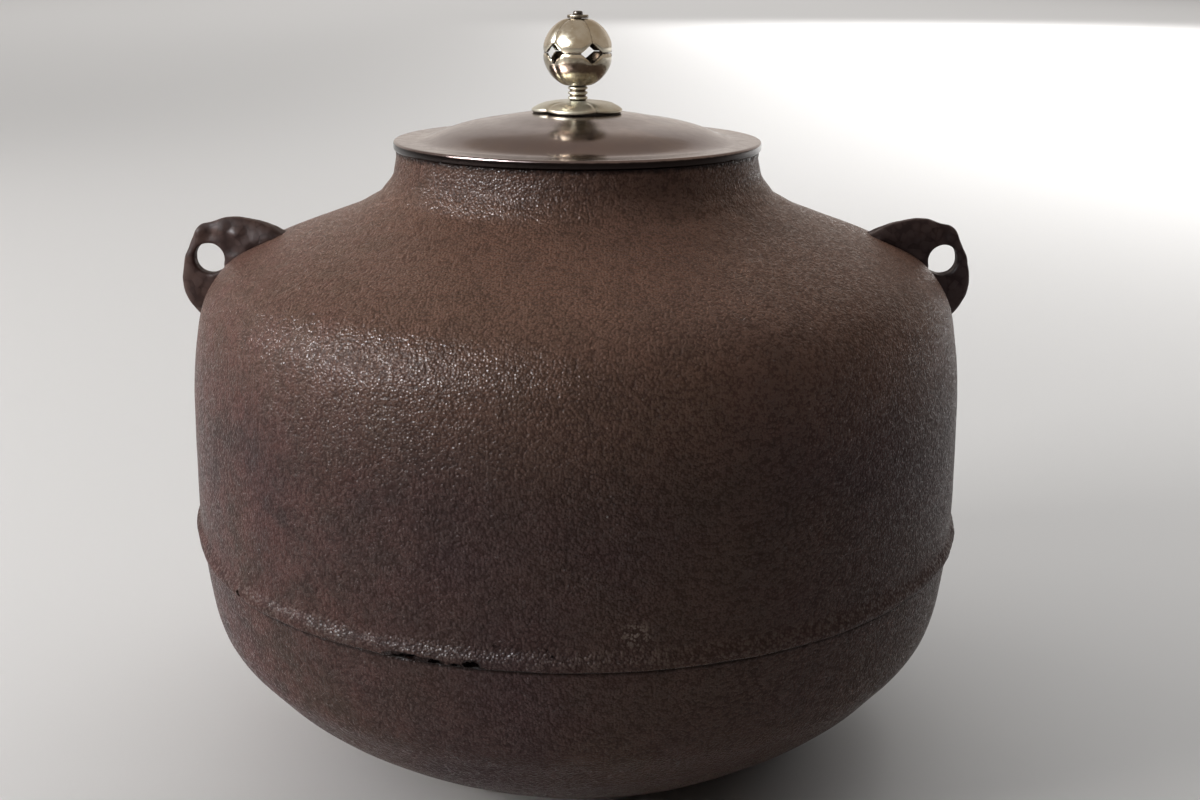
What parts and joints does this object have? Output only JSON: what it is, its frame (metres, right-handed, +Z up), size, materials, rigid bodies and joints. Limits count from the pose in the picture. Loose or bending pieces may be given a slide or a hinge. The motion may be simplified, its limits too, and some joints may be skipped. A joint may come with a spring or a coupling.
{
  "type": "tea kettle",
  "caption": "Round cast iron tea kettle with a low neck, sloping shoulder, waist ridge, ring lugs and a domed bronze lid whose openwork ball knob turns.",
  "frame": {"origin": "middle of the kettle's flat bottom, on the surface it stands on", "axes": "+Z up along the kettle's turning axis; the ring lugs lie on the X axis; the front faces -Y"},
  "size_m": [0.27, 0.2642, 0.2471],
  "materials": {
    "iron": "fine sandy skin with a brown lacquered patina and a trace of rust",
    "lug_iron": "smoother dark brown casting with worn edges",
    "seam_putty": "dull lacquer and iron powder",
    "lacquer": "black lacquer",
    "plate_iron": "dull forged iron",
    "lid_bronze": "polished purplish brown patina",
    "knob_metal": "polished pale brass",
    "pin_iron": "darkened iron"
  },
  "bodies": {
    "kettle": {"body_shell": "iron", "bottom_bowl": "iron", "seam_lacquer": "seam_putty", "right_lug": "lug_iron", "left_lug": "lug_iron", "singing_plates": "plate_iron", "plate_lacquer": "lacquer"},
    "lid": {"lid_plate": "lid_bronze", "lid_skirt": "lid_bronze"},
    "knob": {"knob_seat": "knob_metal", "knob_stem": "knob_metal", "ball_lower_half": "knob_metal", "ball_upper_half": "knob_metal", "top_washer": "knob_metal", "under_washer": "knob_metal", "knob_pin": "pin_iron"}
  },
  "joints": [
    {"name": "lid_lift", "type": "slide", "parent": "kettle", "child": "lid", "axis": [0, 0, 1], "range_m": [0, 0.08]},
    {"name": "knob_turn", "type": "hinge", "parent": "lid", "child": "knob", "pos_m": [0, 0, 0.2152], "axis": [0, 0, 1], "continuous": true}
  ]
}
